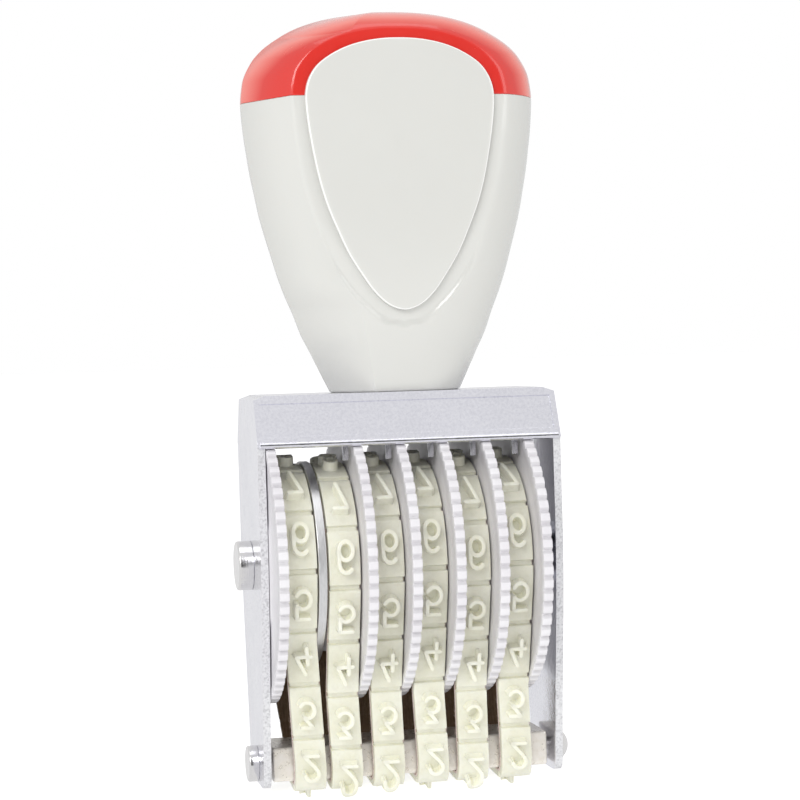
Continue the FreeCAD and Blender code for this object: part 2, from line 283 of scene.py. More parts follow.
def mat_bar():
    m = M("warm_nickel", (0.92, 0.87, 0.78), 0.34, 0.35)
    g = m.noise(1100, 3, 0.6)
    m.set("Base Color", m.ramp(g, [(0.3, (0.84, 0.79, 0.70)), (0.5, (0.93, 0.885, 0.81)), (0.7, (0.97, 0.93, 0.87))]))
    m.set("Roughness", m.grey(g, 0.24, 0.42))
    m.bump(m.noise(1600, 3, 0.6), 0.00004, 0.45)
    return m.mat


def mat_steel(name, col=(0.55, 0.55, 0.57), rough=0.34, stretch=(6, 1, 1)):
    m = M(name, col, rough, 1.0)
    g = m.noise(900, 3, 0.6, stretch=stretch)
    m.set("Roughness", m.grey(g, rough - 0.06, rough + 0.12))
    m.set("Base Color", m.ramp(g, [(0.3, tuple(c * 0.92 for c in col)), (0.7, tuple(min(1, c * 1.08) for c in col))]))
    m.bump(g, 0.00003, 0.3)
    return m.mat


def mat_plastic(name, col, rough=0.16, coat=0.35, sub=0.0, var=0.03):
    m = M(name, col, rough)
    m.bsdf.inputs["Coat Weight"].default_value = coat
    m.bsdf.inputs["Coat Roughness"].default_value = 0.05
    m.bsdf.inputs["IOR"].default_value = 1.5
    if sub:
        m.bsdf.inputs["Subsurface Weight"].default_value = sub
        m.bsdf.inputs["Subsurface Radius"].default_value = (0.004, 0.003, 0.0025)
        m.bsdf.inputs["Subsurface Scale"].default_value = 0.5
    n = m.noise(45, 3, 0.5)
    m.set("Base Color", m.ramp(n, [(0.3, tuple(max(0, c - var) for c in col)), (0.7, tuple(min(1, c + var * 0.5) for c in col))]))
    m.set("Roughness", m.grey(m.noise(240, 4, 0.6), rough - 0.04, rough + 0.10))
    m.bump(m.noise(120, 2, 0.4), 0.00012, 0.10)
    m.bump(m.noise(2600, 3, 0.6), 0.000012, 0.25)
    return m.mat


def mat_red():
    m = M("red_plastic", (0.80, 0.03, 0.02), 0.18)
    m.bsdf.inputs["Coat Weight"].default_value = 0.6
    m.bsdf.inputs["Coat Roughness"].default_value = 0.06
    m.bsdf.inputs["IOR"].default_value = 1.5
    slant_sheen_facing = m.nt.nodes.new("ShaderNodeLayerWeight")
    slant_sheen_facing.inputs["Blend"].default_value = 0.5
    n = m.noise(45, 3, 0.5)
    core = m.ramp(n, [(0.3, (0.655, 0.026, 0.018)), (0.7, (0.69, 0.031, 0.022))])
    # painted sheen: the red is mixed towards pale pink where the surface is seen at a slant, standing in for the
    # reflection of the bright room
    col = m.mixc(m.grey(slant_sheen_facing.outputs["Facing"], -0.35, 1.25), core, (0.90, 0.19, 0.145))
    m.set("Base Color", col)
    m.set("Roughness", m.grey(m.noise(240, 4, 0.6), 0.14, 0.28))
    m.bump(m.noise(120, 2, 0.4), 0.00012, 0.10)
    m.bump(m.noise(2600, 3, 0.6), 0.000012, 0.25)
    return m.mat


def mat_wheel(name="wheel_plastic", k=1.0):
    m = M(name, (0.79 * k, 0.775 * k, 0.80 * k), 0.38)
    n = m.noise(90, 3, 0.5)
    m.set("Base Color", m.ramp(n, [(0.3, (0.735 * k, 0.715 * k, 0.745 * k)), (0.7, (0.81 * k, 0.80 * k, 0.82 * k))]))
    m.set("Roughness", m.grey(m.noise(500, 3, 0.6), 0.32, 0.5))
    m.bump(m.noise(1500, 3, 0.6), 0.00002, 0.4)
    m.bsdf.inputs["Subsurface Weight"].default_value = 0.08
    m.bsdf.inputs["Subsurface Scale"].default_value = 0.4
    m.bsdf.inputs["Subsurface Radius"].default_value = (0.003, 0.003, 0.003)
    return m.mat


def mat_rubber(name="ivory_rubber", k=1.0):
    m = M(name, (0.80 * k, 0.795 * k, 0.68 * k), 0.46)
    n = m.noise(130, 4, 0.6)
    fine = m.noise(900, 4, 0.7)
    col = m.ramp(n, [(0.28, (0.75 * k, 0.74 * k, 0.605 * k)), (0.6, (0.81 * k, 0.805 * k, 0.69 * k)), (0.8, (0.84 * k, 0.835 * k, 0.735 * k))])
    # handling leaves faint olive stains in the surface
    m.set("Base Color", m.mixc(m.grey(fine, 0.0, 0.20, 0.45, 0.75), col, (0.50, 0.475, 0.34)))
    m.set("Roughness", m.grey(m.noise(900, 4, 0.6), 0.36, 0.58))
    m.bump(m.noise(700, 3, 0.5), 0.00005, 0.28)
    m.bump(m.noise(4500, 2, 0.6), 0.000012, 0.3)
    m.bsdf.inputs["Subsurface Weight"].default_value = 0.12
    m.bsdf.inputs["Subsurface Scale"].default_value = 0.5
    m.bsdf.inputs["Subsurface Radius"].default_value = (0.003, 0.0025, 0.0015)
    return m.mat


def mat_weave():
    m = M("woven_backing", (0.07, 0.045, 0.028), 0.85)
    a = m.wave(640, 'X', 1.5)
    n = m.noise(2400, 4, 0.7, stretch=(1, 1, 0.5))
    big = m.noise(260, 3, 0.6)
    mix = m.math('ADD', m.math('MULTIPLY', a, 0.12), m.math('MULTIPLY', n, 0.88))
    col = m.ramp(mix, [(0.2, (0.16, 0.095, 0.05)), (0.5, (0.27, 0.175, 0.10)), (0.8, (0.42, 0.30, 0.20))])
    m.set("Base Color", m.mixc(m.grey(big, 0.0, 0.45), col, (0.34, 0.235, 0.15)))
    m.bump(mix, 0.00006, 0.6)
    m.bsdf.inputs["Sheen Weight"].default_value = 0.1
    return m.mat


def mat_edge():
    m = M("backing_edge", (0.62, 0.48, 0.44), 0.85)
    n = m.noise(2200, 4, 0.7)
    m.set("Base Color", m.ramp(n, [(0.3, (0.42, 0.30, 0.26)), (0.5, (0.66, 0.53, 0.49)), (0.75, (0.84, 0.74, 0.70))]))
    m.bump(n, 0.00006, 0.8)
    m.bsdf.inputs["Sheen Weight"].default_value = 0.3
    return m.mat


PLATE = mat_plate()
CUTEDGE = mat_cut()
TURNED = mat_turned("nickel_steel")
BAR = mat_bar()
ZINC = mat_steel("zinc_steel", (0.62, 0.63, 0.67), 0.3)
SPRING = mat_steel("spring_steel", (0.66, 0.66, 0.70), 0.2)
SEPAR = mat_steel("separator_steel", (0.80, 0.80, 0.81), 0.38)
WHITE = mat_plastic("white_plastic", (0.655, 0.655, 0.625), 0.14, 0.4, 0.03, 0.010)
# painted highlight: a brighter copy of the white plastic for the rounded edge of the shield panel
WHITE_PAINTED_HIGHLIGHT = mat_plastic("white_plastic_painted_edge_highlight", (0.86, 0.86, 0.84), 0.12, 0.4, 0.0, 0.010)
RED = mat_red()
WHEEL = mat_wheel()
# painted shade: a darker copy of the wheel plastic for the roots between the teeth
WHEEL_ROOT_SHADE = mat_wheel("wheel_plastic_roots", 0.88)
RUBBER = mat_rubber()
# painted highlight: a lighter copy of the band rubber for the raised characters, standing in for the light on their
# tops
RUBBER_PAINTED_LIGHT = mat_rubber("ivory_rubber_characters_painted_highlight", 1.11)
WEAVE = mat_weave()
EDGE = mat_edge()

# ----------------------------------------------------------- metal hardware
yoke = detail("frame_yoke", "yoke", PLATE, 0.22, 3, 30, "nickel_plate")
yoke.data.materials.append(CUTEDGE)
for f in yoke.data.polygons:
    # the sheared edges of the side plates are rougher than the plated faces
    if f.center.z < 0.0552 and abs(f.normal.x) < 0.6:
        f.material_index = 1
detail("foot_bar", "foot_bar_body", BAR, 0.12, 2, 30, "warm_nickel")
detail("axle", "axle_with_head", TURNED, 0.12, 2, 35, "nickel_steel")
detail("axle_retainer", "axle_retainer_disc", TURNED, 0.08, 2, 35, "nickel_steel")
detail("foot_bolt", "foot_bolt_domed", TURNED, 0.1, 2, 35, "nickel_steel")
detail("foot_nut", "foot_nut_round", TURNED, 0.1, 2, 35, "nickel_steel")
detail("axle_washer_right", "washer_right", ZINC, 0.04, 1, 35, "zinc_steel")
detail("spring_washer", "spring_washer_ring", SPRING, 0.04, 1, 35, "spring_steel")
detail("separator_disc", "separator", SEPAR, 0.12, 2, 35, "separator_steel")
detail("index_spring_comb", "spring_comb", SPRING, 0.06, 2, 35, "spring_steel")
detail("handle_screw", "handle_screw_slotted", ZINC, 0.12, 2, 35, "zinc_steel")
detail("handle_washer", "handle_washer_flat", ZINC, 0.06, 1, 35, "zinc_steel")


AXLE_Z = 36.9
D0X, PITCH = -21.93, 6.79
disc_x = [D0X + PITCH * k for k in range(7)]
DT, ST = 1.5, 1.3
R_DISC, N_TEETH = 21.8, 66


def lathe_x(prof, seg, verts, faces, mirror=False):
    """ring of revolution about the axle from a closed (x, r) outline"""
    base = len(verts)
    n = len(prof)
    for j in range(seg):
        t = 2 * math.pi * j / seg
        for x, r in prof:
            verts.append((x, r * math.sin(t), AXLE_Z + r * math.cos(t)))
    for j in range(seg):
        a, b = base + j * n, base + ((j + 1) % seg) * n
        for k in range(n):
            k2 = (k + 1) % n
            faces.append((a + k, a + k2, b + k2, b + k))


def build_wheel(i):
    """toothed finger disc with its hub; the disc is left of the hub on wheel 1 and right of it on the others"""
    first = i == 1
    dc = disc_x[0] if first else disc_x[i]
    sgn = 1 if first else -1                  # direction from disc to hub
    if first:
        hub_end = disc_x[1] - ST / 2 - 0.12
    else:
        hub_end = disc_x[i - 1] + (ST if i == 2 else DT) / 2 + 0.12
    verts, faces = [], []
    # toothed rim: flat lands, 45 degree flanks, narrow roots
    step = 2 * math.pi / N_TEETH
    pts = []
    dep = 0.58
    for k in range(N_TEETH):
        for f, d in ((-0.27, 0.05), (-0.235, 0.0), (0.0, 0.0), (0.235, 0.0), (0.27, 0.05), (0.40, dep * 0.62), (0.455, dep * 0.93), (0.50, dep), (0.545, dep * 0.93), (0.60, dep * 0.62)):
            pts.append(((k + f) * step, R_DISC - d))
    n = len(pts)
    h = DT / 2
    secs = [(-h, 0.42), (-h, 0.14), (-h + 0.03, 0.07), (-h + 0.09, 0.02), (-h + 0.18, 0.0), (0, 0.0), (h - 0.18, 0.0), (h - 0.09, 0.02), (h - 0.03, 0.07), (h, 0.14), (h, 0.42)]
    for x, ins in secs:
        for t, r in pts:
            rr = r - ins
            verts.append((dc + x, rr * math.sin(t), AXLE_Z + rr * math.cos(t)))
    roots = []
    for a in range(len(secs) - 1):
        for k in range(n):
            k2 = (k + 1) % n
            faces.append((a * n + k, a * n + k2, (a + 1) * n + k2, (a + 1) * n + k))
            if pts[k][1] + pts[k2][1] < 2 * R_DISC - 0.2:
                roots.append(len(faces) - 1)
    # faces of the disc, inwards in rings: rim land, shallow step, web
    last = {}
    for side, row in ((-1, 0), (1, len(secs) - 1)):
        prev = row * n
        x0 = dc + side * h
        rings = [(20.55, 0.0), (20.40, 0.03), (20.25, 0.10), (18.0, 0.12), (16.6, 0.12)]
        if side == sgn:
            rings += [(14.2, 0.12)]
        else:
            rings += [(13.4, 0.12), (13.2, 0.08), (13.0, 0.0), (8.0, 0.0), (4.3, 0.0), (4.2, 0.02), (2.14, 0.02), (2.05, 0.1)]
        for r, dx in rings:
            row0 = len(verts)
            for t, _ in pts:
                verts.append((x0 - side * dx, r * math.sin(t), AXLE_Z + r * math.cos(t)))
            for k in range(n):
                k2 = (k + 1) % n
                faces.append((prev + k, prev + k2, row0 + k2, row0 + k))
            prev = row0
        last[side] = prev
    # hub drum with its hollow, boss and bore
    xw = dc + sgn * (h - 0.12)
    e = hub_end
    drum = [(xw, 14.2), (xw + sgn * 0.15, 14.1), (e - sgn * 0.12, 14.1), (e - sgn * 0.03, 14.06), (e, 13.96), (e, 12.64), (e - sgn * 0.03, 12.54), (e - sgn * 0.12, 12.5),
            (xw + sgn * 0.35, 12.5), (xw + sgn * 0.2, 12.35), (xw + sgn * 0.2, 4.4), (xw + sgn * 0.35, 4.2), (e - sgn * 0.1, 4.2), (e, 4.1), (e, 2.15), (e - sgn * 0.1, 2.05)]
    row0 = len(verts)
    for x, r in drum:
        for t, _ in pts:
            verts.append((x, r * math.sin(t), AXLE_Z + r * math.cos(t)))
    for a in range(len(drum) - 1):
        for k in range(n):
            k2 = (k + 1) % n
            faces.append((row0 + a * n + k, row0 + a * n + k2, row0 + (a + 1) * n + k2, row0 + (a + 1) * n + k))
    for k in range(n):
        k2 = (k + 1) % n
        faces.append((last[sgn] + k, last[sgn] + k2, row0 + k2, row0 + k))
        end = row0 + (len(drum) - 1) * n
        faces.append((end + k, end + k2, last[-sgn] + k2, last[-sgn] + k))
    o = mesh_obj("wheel_%d_disc_and_hub" % i, [(x + XS, y, z) for x, y, z in verts], faces, WHEEL)
    # the root faces between the teeth take the darker copy, painted shade in the valleys
    o.data.materials.append(WHEEL_ROOT_SHADE)
    if len(o.data.polygons) == len(faces):
        for q in roots:
            o.data.polygons[q].material_index = 1
    bm = bmesh.new()
    bm.from_mesh(o.data)
    bmesh.ops.remove_doubles(bm, verts=bm.verts, dist=1e-7)
    bmesh.ops.recalc_face_normals(bm, faces=bm.faces)
    bm.to_mesh(o.data)
    bm.free()
    sharp_by_angle(o.data, 50)
    # eight radial ribs stiffen the hollow of the hub
    rv, rf = [], []
    for k in range(8):
        t = 2 * math.pi * (k + 0.25) / 8
        c, q = math.cos(t), math.sin(t)
        x0, x1 = xw + sgn * 0.15, e - sgn * 1.1
        b = len(rv)
        for x in (x0, x1):
            for r, w in ((4.0, -0.4), (12.6, -0.4), (12.6, 0.4), (4.0, 0.4)):
                ww = w * (1.0 if x == x0 else 0.82)
                rv.append((x + XS, r * q + ww * c, AXLE_Z + r * c - ww * q))
        rf += [(b, b + 1, b + 5, b + 4), (b + 1, b + 2, b + 6, b + 5), (b + 2, b + 3, b + 7, b + 6), (b + 3, b, b + 4, b + 7), (b + 4, b + 5, b + 6, b + 7), (b + 3, b + 2, b + 1, b)]
    ribs = mesh_obj("wheel_%d_hub_ribs" % i, rv, rf, WHEEL, False)
    recalc(ribs)
    for ob in (o, ribs):
        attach(ob, "wheel_%d" % i)
    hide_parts("number_wheel_%d" % i)


for i in range(1, 7):
    build_wheel(i)

# -------------------------------------------------------------------- grip
SEAM = 109.7
Z0, Z1 = 63.7, 123.85
A_TAB = [(63.7, 10.35), (66.6, 11.75), (69.8, 13.2), (73.0, 14.75), (76.2, 15.9), (79.4, 17.2), (82.6, 18.3),
         (85.8, 19.2), (89.0, 20.1), (92.2, 20.9), (95.4, 21.5), (98.6, 22.1), (101.8, 22.55), (105.0, 22.95),
         (109.7, 23.25), (112.9, 22.9), (116.2, 21.4), (118.0, 19.8), (119.6, 17.6), (121.3, 14.5), (122.6, 10.6),
         (123.4, 6.2), (123.84, 0.4)]
B_TAB = [(63.7, 6.9), (66.6, 7.7), (69.8, 8.6), (73.0, 9.5), (76.2, 10.2), (79.4, 10.8), (82.6, 11.3), (85.8, 11.8),
         (89.0, 12.2), (92.2, 12.6), (95.4, 13.0), (98.6, 13.3), (101.8, 13.5), (105.0, 13.7), (109.7, 13.8),
         (112.9, 13.5), (116.2, 12.7), (118.0, 11.9), (119.6, 10.9), (121.3, 9.3), (122.6, 7.1), (123.4, 4.3),
         (123.84, 0.3)]
YF_TAB = [(60.0, 9.2), (74.3, 9.8), (85.0, 10.3), (97.0, 10.75), (109.0, 11.1), (115.0, 10.9), (118.0, 10.7),
          (120.4, 10.3), (124.0, 9.6)]


def pchip(tab):
    xs = np.array([p[0] for p in tab], float)
    ys = np.array([p[1] for p in tab], float)
    h = np.diff(xs)
    d = np.diff(ys) / h
    m = np.zeros(len(xs))
    m[0], m[-1] = d[0], d[-1]
    for i in range(1, len(xs) - 1):
        if d[i - 1] * d[i] > 0:
            w1, w2 = 2 * h[i] + h[i - 1], h[i] + 2 * h[i - 1]
            m[i] = (w1 + w2) / (w1 / d[i - 1] + w2 / d[i])

    def f(x):
        x = min(max(x, xs[0]), xs[-1])
        i = min(max(int(np.searchsorted(xs, x)) - 1, 0), len(xs) - 2)
        t = (x - xs[i]) / h[i]
        return ((1 + 2 * t) * (1 - t) ** 2 * ys[i] + t * (1 - t) ** 2 * h[i] * m[i]
                + t * t * (3 - 2 * t) * ys[i + 1] + t * t * (t - 1) * h[i] * m[i + 1])
    return f


fa, fb, fy = pchip(A_TAB), pchip(B_TAB), pchip(YF_TAB)


def softmin(a, b, k):
    h = max(k - abs(a - b), 0.0) / k
    return min(a, b) - h * h * k * 0.25


def y_sup(x, z, n=2.5):
    a, b = fa(z), fb(z)
    q = 1.0 - min(abs(x) / a, 1.0) ** n
    return b * max(q, 0.0) ** (1.0 / n)


OUT = [(74.4, 0.0), (74.9, 2.3), (77.3, 5.6), (81.2, 9.0), (85.1, 11.3), (89.1, 12.75), (92.7, 13.9), (96.6, 15.1), (100.7, 15.95),
       (104.7, 16.5), (109.4, 16.85), (111.9, 16.5), (114.0, 15.6), (115.6, 14.3), (117.2, 12.2), (118.4, 9.9), (119.4, 7.5),
       (120.2, 3.4), (120.45, 0.0)]
fo = pchip([(z, x) for z, x in OUT])


def out_sd(x, z):
    """rough signed distance to the outer contour of the land, negative inside"""
    if z <= OUT[0][0]:
        return math.hypot(x * 0.5, OUT[0][0] - z)
    if z >= OUT[-1][0]:
        return math.hypot(x * 0.35, z - OUT[-1][0])
    w = fo(z)
    g = (fo(z + 0.15) - fo(z - 0.15)) / 0.3
    return (abs(x) - w) / math.sqrt(1.0 + min(g * g, 30.0))


def smooth(t):
    t = min(max(t, 0.0), 1.0)
    return t * t * (3 - 2 * t)


def y_face(x, z):
    """depth of the grip's front at x, z, with the flat land round the shield"""
    ys = y_sup(x, z)
    land = fy(z) - 0.0010 * x * x
    k = 0.22 if z > 108 else 0.35 + 1.1 * smooth((92.0 - z) / 14.0)
    m = softmin(ys, land, k)
    low = smooth((96.0 - z) / 10.0)
    if low <= 0.0:
        return m
    sd = out_sd(x, z)
    t = smooth((sd + 0.1) / 0.9)
    outside = softmin(ys, land + 0.35 * low, 0.35) if z > 84 else ys
    return m + (outside - m) * t * low


def outer_half(z):
    """half width of the land, where it meets the curved flanks"""
    lo, hi = 0.0, fa(z)
    if y_sup(0, z) <= fy(z):
        return fo(z) if OUT[0][0] < z < OUT[-1][0] else 0.0
    for _ in range(30):
        mid = (lo + hi) / 2
        if y_sup(mid, z) > fy(z) - 0.0012 * mid * mid:
            lo = mid
        else:
            hi = mid
    return lo


def grip_rows(z_list, edge=None):
    """rings of points, columns gathered on the edge of the land"""
    rows = []
    NF, NS = 72, 48
    for z in z_list:
        a = fa(z)
        inset = 0.0
        if edge is not None:
            d = abs(z - edge)
            if d < 0.16:
                inset = 0.16 - math.sqrt(max(0.16 ** 2 - (0.16 - d) ** 2, 0.0))
        xo = outer_half(z)
        xo = max(xo, a * 0.42)
        xo = min(xo, a * 0.86)
        half = []
        for i in range(NF // 2, 0, -1):
            half.append(xo * i / (NF // 2))
        xs_front = [-v for v in half] + [0.0] + half[::-1]
        # flank from the land's edge to the widest point, by angle
        t0 = math.acos(max(min((xo / a) ** 1.25, 1.0), 0.0))
        side = []
        for i in range(1, NS // 2 + 1):
            t = t0 * (1 - i / (NS // 2))
            side.append(a * math.cos(t) ** 0.8)
        front = []
        for x in xs_front:
            front.append((x, -y_face(x, z)))
        right = [(x, -y_face(x, z) if i < NS // 2 - 1 else 0.0) for i, x in enumerate(side)]
        ring = front + right
        back = [(-x, -y) for x, y in ring]
        pts = ring + back
        s = 1.0 - inset / max(a, 1.0)
        if inset:
            pts = [(x * s, y * (1 - inset / max(fb(z), 1.0))) for x, y in pts]
        rows.append([(x + XS, y, z) for x, y in pts])
    return rows


def skin(rows, close_low=True, close_high=True):
    n = len(rows[0])
    verts = [p for r in rows for p in r]
    faces = []
    for j in range(len(rows) - 1):
        for i in range(n):
            a = j * n + i
            b = j * n + (i + 1) % n
            faces.append((a, b, b + n, a + n))
    if close_low:
        c = len(verts)
        cx = sum(p[0] for p in rows[0]) / n
        cy = sum(p[1] for p in rows[0]) / n
        verts.append((cx, cy, rows[0][0][2]))
        for i in range(n):
            faces.append((c, (i + 1) % n, i))
    if close_high:
        c = len(verts)
        o = (len(rows) - 1) * n
        verts.append((XS, 0, rows[-1][0][2]))
        for i in range(n):
            faces.append((c, o + i, o + (i + 1) % n))
    return verts, faces


def levels(z0, z1, step, ends):
    zs = list(np.linspace(z0, z1, int(round((z1 - z0) / step)) + 1))
    zs += ends
    return sorted(set(round(float(z), 4) for z in zs))


zs = levels(Z0 + 0.02, SEAM - 0.02, 0.42, [SEAM - 0.02 - d for d in (0.02, 0.05, 0.09, 0.14, 0.2)] + [Z0 + d for d in (0.04, 0.08, 0.14, 0.2, 0.3)])
body_rows = grip_rows(zs, SEAM)
# rounded lower edge where the grip stands on the yoke
for j, r in enumerate(body_rows):
    d = r[0][2] - Z0
    if d < 0.35:
        k = 0.35 - math.sqrt(max(0.35 ** 2 - (0.35 - d) ** 2, 0.0))
        body_rows[j] = [((x - XS) * (1 - k / 10.3) + XS, y * (1 - k / 6.6), z) for x, y, z in r]
v, f = skin(body_rows)
grip_body = mesh_obj("grip_body", v, f, WHITE)
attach(grip_body, "body")
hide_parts("handle_body")

zc = [SEAM + 0.02 + d for d in (0.0, 0.02, 0.05, 0.09, 0.14, 0.2)]
zc += list(np.linspace(SEAM + 0.4, 119.0, 30)) + [119.0 + (Z1 - 0.03 - 119.0) * math.sin(t) for t in np.linspace(0.03, math.pi / 2, 46)]
cap_rows = grip_rows(sorted(set(round(float(z), 4) for z in zc)), SEAM)
v, f = skin(cap_rows)
cap = mesh_obj("grip_cap", v, f, RED)
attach(cap, "body")
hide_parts("handle_cap")

# raised shield panel
SH = [(76.4, 0.0), (76.75, 1.6), (77.6, 3.1), (79.2, 4.75), (81.1, 6.15), (85.0, 8.6), (88.9, 10.4), (92.8, 11.95),
      (96.6, 13.05), (100.5, 13.85), (104.5, 14.5), (108.0, 14.85), (110.4, 14.8), (112.6, 14.1), (114.6, 12.6),
      (116.4, 9.9), (117.6, 6.9), (118.3, 3.5), (118.5, 0.0)]


def closed_curve(pts, count):
    """Catmull-Rom through the points, resampled evenly"""
    P = [Vector(p) for p in pts]
    n = len(P)
    dense = []
    for i in range(n):
        p0, p1, p2, p3 = P[i - 1], P[i], P[(i + 1) % n], P[(i + 2) % n]
        for k in range(24):
            t = k / 24
            dense.append(0.5 * ((2 * p1) + (p2 - p0) * t + (2 * p0 - 5 * p1 + 4 * p2 - p3) * t * t
                                + (3 * p1 - p0 - 3 * p2 + p3) * t ** 3))
    d = [0.0]
    for i in range(len(dense)):
        d.append(d[-1] + (dense[(i + 1) % len(dense)] - dense[i]).length)
    L = d[-1]
    out = []
    j = 0
    for k in range(count):
        s = L * k / count
        while d[j + 1] < s:
            j += 1
        t = (s - d[j]) / max(d[j + 1] - d[j], 1e-9)
        out.append(dense[j].lerp(dense[(j + 1) % len(dense)], t))
    return out


half = [(x, z) for z, x in SH]
outline = closed_curve(half + [(-x, z) for x, z in reversed(half[1:-1])], 220)
centre = Vector((0.0, 99.5))
nrm = []
for i in range(len(outline)):
    t = (outline[(i + 1) % len(outline)] - outline[i - 1]).normalized()
    nrm.append(Vector((t.y, -t.x)))


def shield(name, sign, node):
    rise = 0.85
    prof = [(0.03, -0.7), (0.02, 0.1 * rise), (0.0, 0.55 * rise), (-0.02, 0.78 * rise), (-0.06, 0.90 * rise), (-0.13, 0.97 * rise),
            (-0.22, rise), (-0.6, rise * 1.005)]
    rings = []
    for off, h in prof:
        ring = []
        for p, n in zip(outline, nrm):
            q = p + n * off
            ring.append((q.x, q.y, h))
        rings.append(ring)
    base = [p + n * -0.6 for p, n in zip(outline, nrm)]
    for k in np.linspace(0.94, 0.06, 22):
        ring = []
        for q in base:
            c = Vector((0.0, min(max(q.y, 92.0), 107.0)))
            w = c.lerp(q, k)
            ring.append((w.x, w.y, rise * 1.01))
        rings.append(ring)
    verts, faces = [], []
    n = len(outline)
    for ring in rings:
        for x, z, h in ring:
            land = fy(z) - 0.0010 * x * x
            crown = 0.12 * (1 - min((x / 15.0) ** 2, 1.0)) * (1 - min(((z - 99) / 22.0) ** 2, 1.0))
            y = -(land + h + (crown if h > rise * 0.99 else crown * 0.4))
            verts.append((sign * x + XS, sign * y, z))
    # rim marks rings 2 to 5, the rounded edge of the panel, for the brighter plastic: a painted highlight line
    rim = []
    for j in range(len(rings) - 1):
        for i in range(n):
            a, b = j * n + i, j * n + (i + 1) % n
            faces.append((a, b, b + n, a + n))
            rim.append(1 if 2 <= j <= 5 else 0)
    # close the spine of the last ring
    o = (len(rings) - 1) * n
    faces.append(tuple(o + i for i in range(n)))
    rim.append(0)
    ob = mesh_obj(name, verts, faces, WHITE)
    ob.data.materials.append(WHITE_PAINTED_HIGHLIGHT)
    if len(ob.data.polygons) == len(rim):
        ob.data.polygons.foreach_set("material_index", rim)
    recalc(ob)
    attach(ob, "body")
    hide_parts(node)
    return ob


shield("shield_panel_front", 1, "handle_shield_front")
shield("shield_panel_rear", -1, "handle_shield_rear")

# ------------------------------------------------------------------- bands
BAND_IN = 14.25
CL = (-4.2, 3.9, 0.9)
dy, dz = CL[0], CL[1] - AXLE_Z
ANG = math.asin((BAND_IN - CL[2]) / math.hypot(dy, dz)) - math.atan2(-dy, -dz)
NEU = 0.9
NVEC = (-math.cos(ANG), -math.sin(ANG))
L1 = 4.2
L2 = (math.pi / 2 - ANG) * (CL[2] + NEU)
P0 = (CL[0] + NVEC[0] * (CL[2] + NEU), CL[1] + NVEC[1] * (CL[2] + NEU))
Q0 = (NVEC[0] * (BAND_IN + NEU), AXLE_Z + NVEC[1] * (BAND_IN + NEU))
L3 = math.hypot(Q0[0] - P0[0], Q0[1] - P0[1])
L4 = (math.pi / 2 + ANG) * (BAND_IN + NEU)
HALF = L1 + L2 + L3 + L4
LOOP = 2 * HALF
BLOCKS = 14
STEP = LOOP / BLOCKS


def on_loop(s):
    """point on the neutral line and the outward normal"""
    s = s % LOOP
    m = 1
    if s > HALF:
        s, m = LOOP - s, -1
    if s <= L1:
        y, z, ny, nz = -s, CL[1] - CL[2] - NEU, 0.0, -1.0
    elif s <= L1 + L2:
        t = -math.pi / 2 - (s - L1) / (CL[2] + NEU)
        ny, nz = math.cos(t), math.sin(t)
        y, z = CL[0] + (CL[2] + NEU) * ny, CL[1] + (CL[2] + NEU) * nz
    elif s <= L1 + L2 + L3:
        k = (s - L1 - L2) / L3
        y, z = P0[0] + (Q0[0] - P0[0]) * k, P0[1] + (Q0[1] - P0[1]) * k
        ny, nz = NVEC
    else:
        t = math.pi + ANG - (s - L1 - L2 - L3) / (BAND_IN + NEU)
        ny, nz = math.cos(t), math.sin(t)
        y, z = (BAND_IN + NEU) * ny, AXLE_Z + (BAND_IN + NEU) * nz
    return m * y, z, m * ny, nz


def lp(s, d):
    y, z, ny, nz = on_loop(s)
    return y + ny * (d - NEU), z + nz * (d - NEU)


FAB, RUB, REL = 0.45, 1.1, 1.45
HW = 2.45                      # half width of the rubber
# where the valleys between the blocks lie on the front of each band, from the bottom up
VALLEY = [[14.10, 23.08, 32.00, 41.38, 50.42], [12.01, 20.96, 29.87, 38.69, 47.59], [12.31, 21.46, 30.13, 39.56, 48.95],
          [13.82, 22.72, 31.74, 41.02, 50.13], [11.71, 20.76, 29.25, 38.37, 47.61], [14.02, 22.55, 31.47, 41.14, 50.43]]
# the bands run out to the right on their way round the foot bar
DRIFT_F = [1.95, 1.08, 0.95, 1.25, 0.93, 1.15]
DRIFT_R = [2.45, 1.65, 1.5, 1.75, 1.45, 1.55]


def band_centre(i):
    if i == 1:
        return (disc_x[0] + DT / 2 + disc_x[1] - ST / 2) / 2 + 0.1
    return (disc_x[i - 1] + (ST if i == 2 else DT) / 2 + disc_x[i] - DT / 2) / 2 + 0.1


def drift(i, s):
    s = s % LOOP
    y, z = lp(s, 1.0)
    # no drift while the band still lies between the finger discs, then a straight run to the foot
    top, run = (27.0, 22.0) if i == 1 else (17.4, 12.4)
    k = min(max((top - z) / run, 0.0), 1.0)
    k = k * k / 0.16 if k < 0.08 else (k - 0.04) / 0.96
    f, r = DRIFT_F[i - 1], DRIFT_R[i - 1]
    if z < 4.0:
        t = smooth((y + 5.0) / 10.0)
        return f + (r - f) * t
    return (f if s < HALF else r) * k


THREAD_TOP = next(0.1 * k for k in range(1, 600) if lp(0.1 * k, 1.0)[1] > 14.0)


def valleys(i):
    v = VALLEY[i - 1]
    step = (LOOP - (v[-1] - v[0])) / (BLOCKS - 4)
    out = list(v)
    while len(out) < BLOCKS:
        out.append(out[-1] + step)
    return out


def arc(cx, cy, rx, ry, a0, a1, n=14):
    return [(cx + rx * math.cos(math.radians(a0 + (a1 - a0) * k / n)),
             cy + ry * math.sin(math.radians(a0 + (a1 - a0) * k / n))) for k in range(n + 1)]


